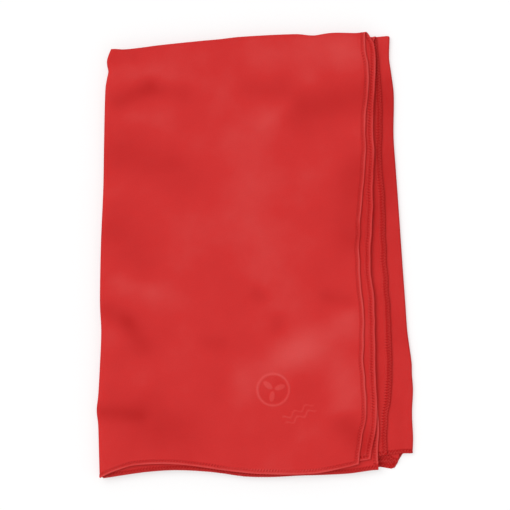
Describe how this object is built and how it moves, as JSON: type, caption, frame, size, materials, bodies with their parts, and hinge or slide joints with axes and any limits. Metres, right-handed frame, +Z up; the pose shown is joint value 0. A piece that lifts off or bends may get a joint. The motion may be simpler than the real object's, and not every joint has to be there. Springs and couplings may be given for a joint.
{
  "type": "folded microfiber towel",
  "caption": "Hemmed microfiber towel, doubled and folded back and forth into a flat pile that lies on a surface.",
  "frame": {"origin": "middle of the pile's underside, on the surface that it rests on", "axes": "+Z up, +Y from the open hems to the top fold, +X from the closed side fold to the stepped open edges"},
  "size_m": [0.3587, 0.5042, 0.0162],
  "materials": {
    "microfiber_cloth": "brushed matte nap"
  },
  "bodies": {
    "root": {"towel": "microfiber_cloth"}
  },
  "joints": []
}
